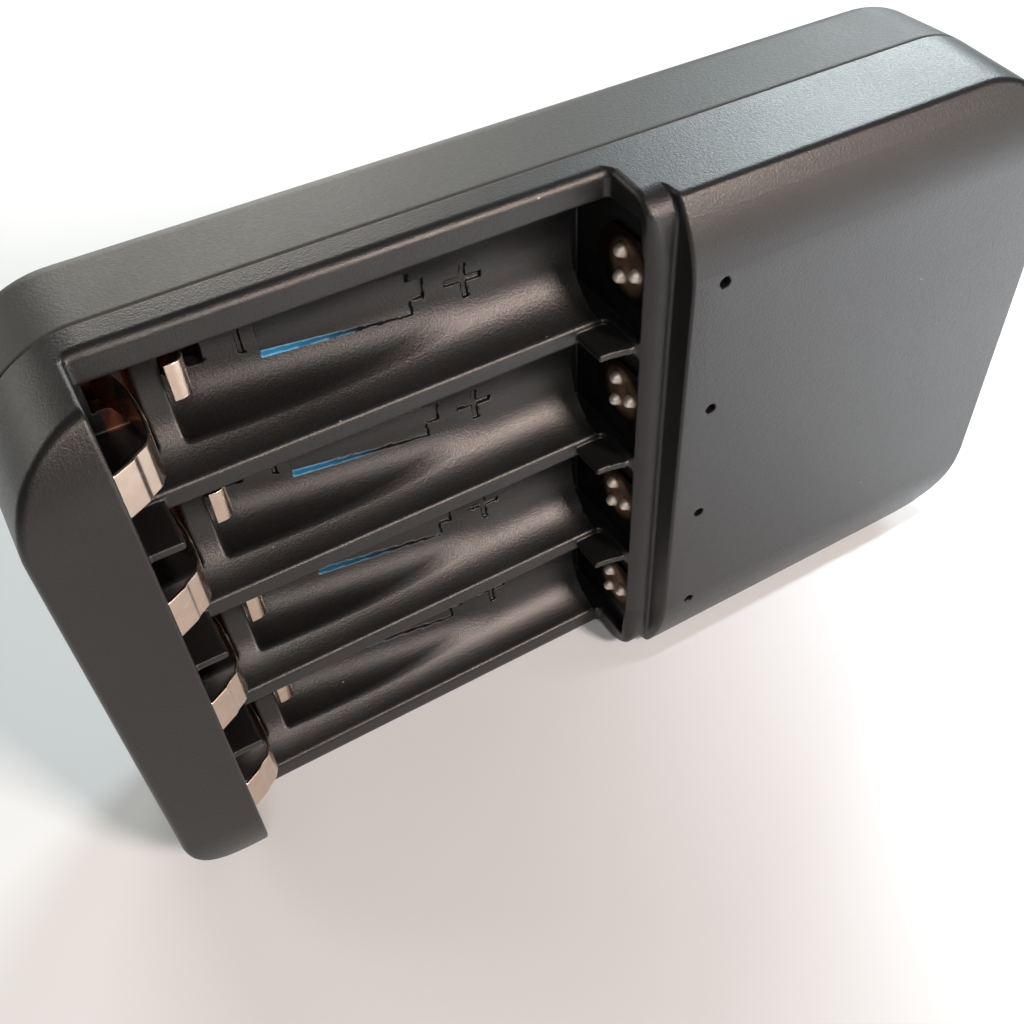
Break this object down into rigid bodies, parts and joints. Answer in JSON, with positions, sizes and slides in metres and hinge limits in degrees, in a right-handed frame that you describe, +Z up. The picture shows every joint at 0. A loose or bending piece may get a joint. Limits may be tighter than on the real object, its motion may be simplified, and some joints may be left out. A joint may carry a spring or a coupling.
{
  "type": "battery charger",
  "caption": "Battery charger for round cells: open bays with sprung contacts beside a closed panel, and a mains plug that folds into the back.",
  "frame": {"origin": "centre of the bounding box's underside, the long side that the charger stands on", "axes": "+X along the cells from the hood to the panel, -Y out of the front face with the bays, +Z up across the bays"},
  "size_m": [0.1186, 0.0264, 0.0706],
  "materials": {
    "front_shell": "fine-textured moulded black ABS",
    "rear_shell": "fine-textured moulded black ABS",
    "contact_nickel": "nickel-plated spring steel",
    "led_lens": "clear epoxy lens",
    "board": "solder mask on glass-epoxy board",
    "ferrite": "sintered ferrite",
    "winding": "polyester winding tape",
    "capacitor_sleeve": "shrunk sleeve",
    "chip_resin": "moulded epoxy",
    "fuse_body": "ceramic tube",
    "copper_strip": "rolled phosphor bronze",
    "screw_steel": "zinc-plated steel",
    "plug_plastic": "moulded black nylon",
    "blade_metal": "nickel-plated brass"
  },
  "bodies": {
    "case": {"front_housing": "front_shell", "rear_housing": "rear_shell", "positive_contact_1": "contact_nickel", "positive_contact_2": "contact_nickel", "positive_contact_3": "contact_nickel", "positive_contact_4": "contact_nickel", "indicator_led_1": "led_lens", "indicator_led_2": "led_lens", "indicator_led_3": "led_lens", "indicator_led_4": "led_lens", "main_board": "board", "transformer_core": "ferrite", "transformer_winding": "winding", "input_capacitor": "capacitor_sleeve", "output_capacitor": "capacitor_sleeve", "control_chip": "chip_resin", "rectifier": "chip_resin", "fuse": "fuse_body", "filter_choke": "ferrite", "return_strip": "copper_strip", "plug_spring_left": "copper_strip", "plug_spring_right": "copper_strip", "case_screws": "screw_steel"},
    "aa_spring_1": {"aa_contact_1": "contact_nickel"},
    "aa_spring_2": {"aa_contact_2": "contact_nickel"},
    "aa_spring_3": {"aa_contact_3": "contact_nickel"},
    "aa_spring_4": {"aa_contact_4": "contact_nickel"},
    "aaa_spring_1": {"aaa_contact_1": "contact_nickel"},
    "aaa_spring_2": {"aaa_contact_2": "contact_nickel"},
    "aaa_spring_3": {"aaa_contact_3": "contact_nickel"},
    "aaa_spring_4": {"aaa_contact_4": "contact_nickel"},
    "plug": {"plug_carrier": "plug_plastic", "plug_blade_left": "blade_metal", "plug_blade_right": "blade_metal"}
  },
  "joints": [
    {"name": "aa_spring_1_flex", "type": "hinge", "parent": "case", "child": "aa_spring_1", "pos_m": [-0.04807, 0.00825, 0.06005], "axis": [0, 0, -1], "range_deg": [0, 12], "stiffness_Nm_per_rad": 0.06},
    {"name": "aa_spring_2_flex", "type": "hinge", "parent": "case", "child": "aa_spring_2", "pos_m": [-0.04807, 0.00825, 0.04355], "axis": [0, 0, -1], "range_deg": [0, 12], "stiffness_Nm_per_rad": 0.06},
    {"name": "aa_spring_3_flex", "type": "hinge", "parent": "case", "child": "aa_spring_3", "pos_m": [-0.04807, 0.00825, 0.02705], "axis": [0, 0, -1], "range_deg": [0, 12], "stiffness_Nm_per_rad": 0.06},
    {"name": "aa_spring_4_flex", "type": "hinge", "parent": "case", "child": "aa_spring_4", "pos_m": [-0.04807, 0.00825, 0.01055], "axis": [0, 0, -1], "range_deg": [0, 12], "stiffness_Nm_per_rad": 0.06},
    {"name": "aaa_spring_1_flex", "type": "hinge", "parent": "case", "child": "aaa_spring_1", "pos_m": [-0.04299, 0.00825, 0.06115], "axis": [0, 0, -1], "range_deg": [0, 14], "stiffness_Nm_per_rad": 0.06},
    {"name": "aaa_spring_2_flex", "type": "hinge", "parent": "case", "child": "aaa_spring_2", "pos_m": [-0.04299, 0.00825, 0.04465], "axis": [0, 0, -1], "range_deg": [0, 14], "stiffness_Nm_per_rad": 0.06},
    {"name": "aaa_spring_3_flex", "type": "hinge", "parent": "case", "child": "aaa_spring_3", "pos_m": [-0.04299, 0.00825, 0.02815], "axis": [0, 0, -1], "range_deg": [0, 14], "stiffness_Nm_per_rad": 0.06},
    {"name": "aaa_spring_4_flex", "type": "hinge", "parent": "case", "child": "aaa_spring_4", "pos_m": [-0.04299, 0.00825, 0.01165], "axis": [0, 0, -1], "range_deg": [0, 14], "stiffness_Nm_per_rad": 0.06},
    {"name": "plug_hinge", "type": "hinge", "parent": "case", "child": "plug", "pos_m": [0.0165, 0.00885, 0.0353], "axis": [0, 0, 1], "range_deg": [0, 90]}
  ]
}
